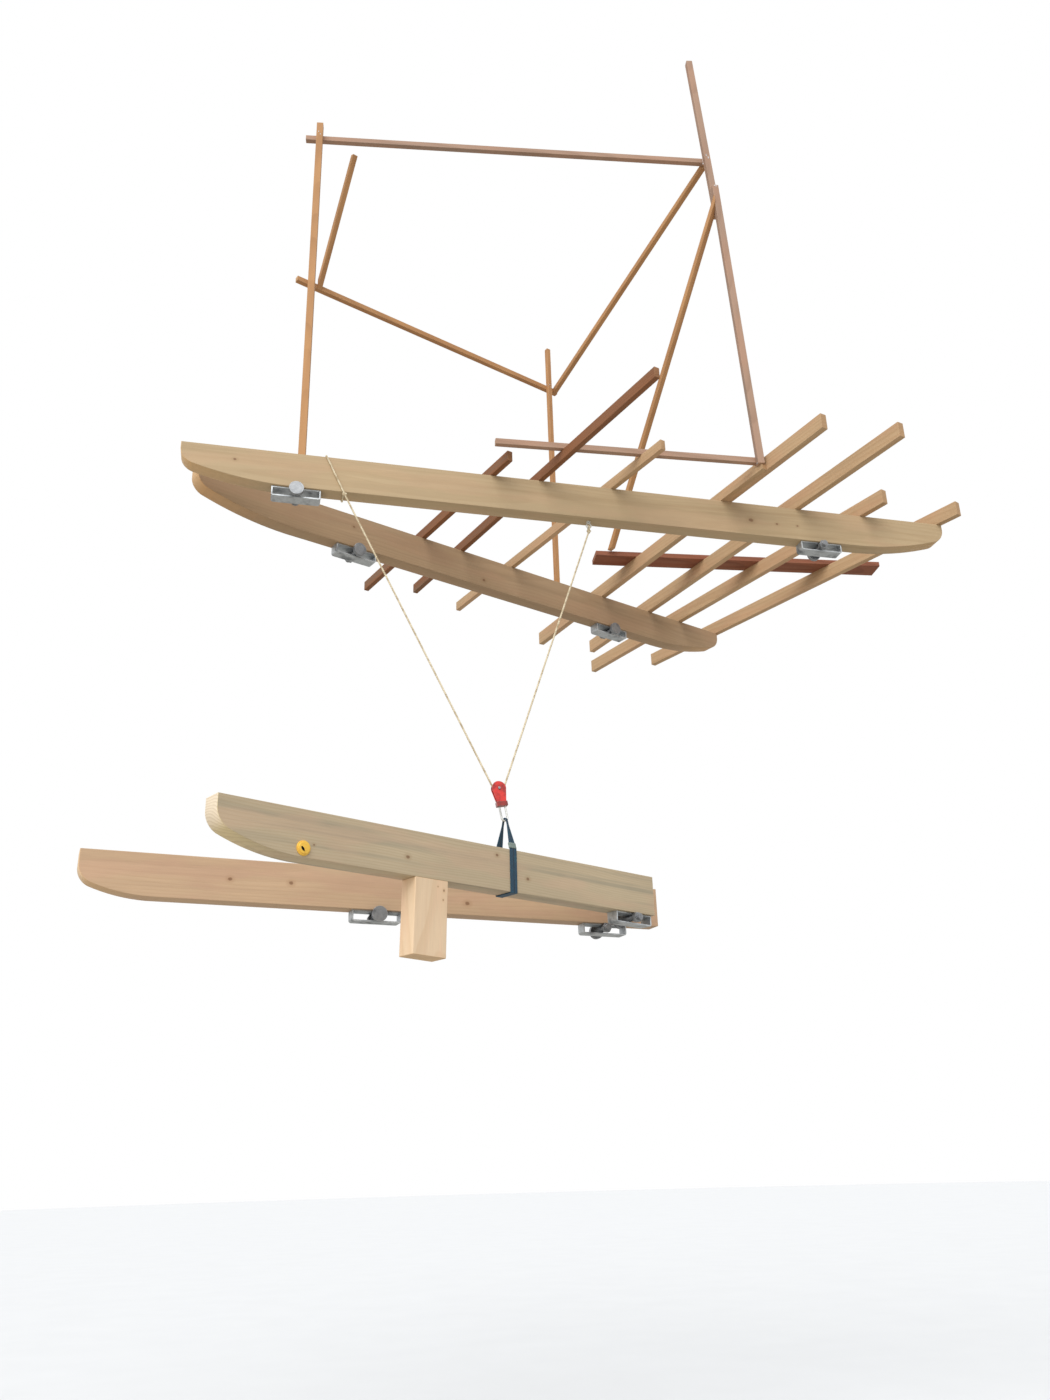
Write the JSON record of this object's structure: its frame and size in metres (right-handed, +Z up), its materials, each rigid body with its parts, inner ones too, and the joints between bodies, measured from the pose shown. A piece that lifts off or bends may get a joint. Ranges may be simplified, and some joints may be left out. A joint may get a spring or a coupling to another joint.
{
  "type": "tree house frame",
  "caption": "Two-level timber tree house frame under construction: V-shaped beam pairs on tree bolts, joists, and light poles marking out the cabin",
  "frame": {"origin": "centre of the collar face of the middle tree's lower bolt, where it bears on the trunk", "axes": "+X along the upper front beam to the right, +Y away from the viewer, +Z up"},
  "size_m": [5.5954, 4.1349, 6.8494],
  "materials": {
    "beam_timber": "planed",
    "joist_timber": "sawn",
    "red_timber": "sawn",
    "plank_timber": "sawn",
    "batten_timber": "sawn",
    "block_timber": "planed",
    "zinc": "galvanised",
    "bolt_steel": "galvanised",
    "shackle_steel": "galvanised",
    "webbing": "woven",
    "red_paint": "gloss",
    "rope": "laid",
    "yellow_plastic": "moulded"
  },
  "bodies": {
    "root": {"lower_front_beam": "beam_timber", "lower_rear_beam": "beam_timber", "upper_front_beam": "beam_timber", "upper_rear_beam": "beam_timber", "joist_1": "red_timber", "joist_2": "red_timber", "joist_3": "joist_timber", "joist_4": "joist_timber", "joist_5": "joist_timber", "joist_6": "joist_timber", "joist_7": "joist_timber", "short_bearer": "joist_timber", "rear_plank": "plank_timber", "front_sill_batten": "batten_timber", "front_right_pole": "batten_timber", "front_right_pole_top": "batten_timber", "front_left_pole": "batten_timber", "rear_right_pole": "batten_timber", "rear_left_pole": "batten_timber", "front_top_batten": "batten_timber", "rear_top_batten": "batten_timber", "right_roof_batten": "batten_timber", "left_roof_batten": "batten_timber", "raking_brace": "batten_timber", "bracket_upper_front_left": "zinc", "bracket_upper_front_right": "zinc", "bracket_upper_rear_left": "zinc", "bracket_upper_rear_right": "zinc", "bracket_lower_rear_left": "zinc", "bracket_lower_rear_middle": "zinc", "bracket_lower_front_right": "zinc", "bolt_upper_front_left": "bolt_steel", "bolt_upper_front_right": "bolt_steel", "bolt_upper_rear_left": "bolt_steel", "bolt_upper_rear_right": "bolt_steel", "bolt_lower_rear_left": "bolt_steel", "bolt_lower_rear_middle": "bolt_steel", "bolt_lower_front_right": "bolt_steel", "lifting_sling": "webbing", "sling_shackle": "shackle_steel", "pulley_block": "red_paint", "hoist_eye": "shackle_steel", "hoist_rope": "rope", "prop_block": "block_timber", "beam_plug": "yellow_plastic"}
  },
  "joints": []
}
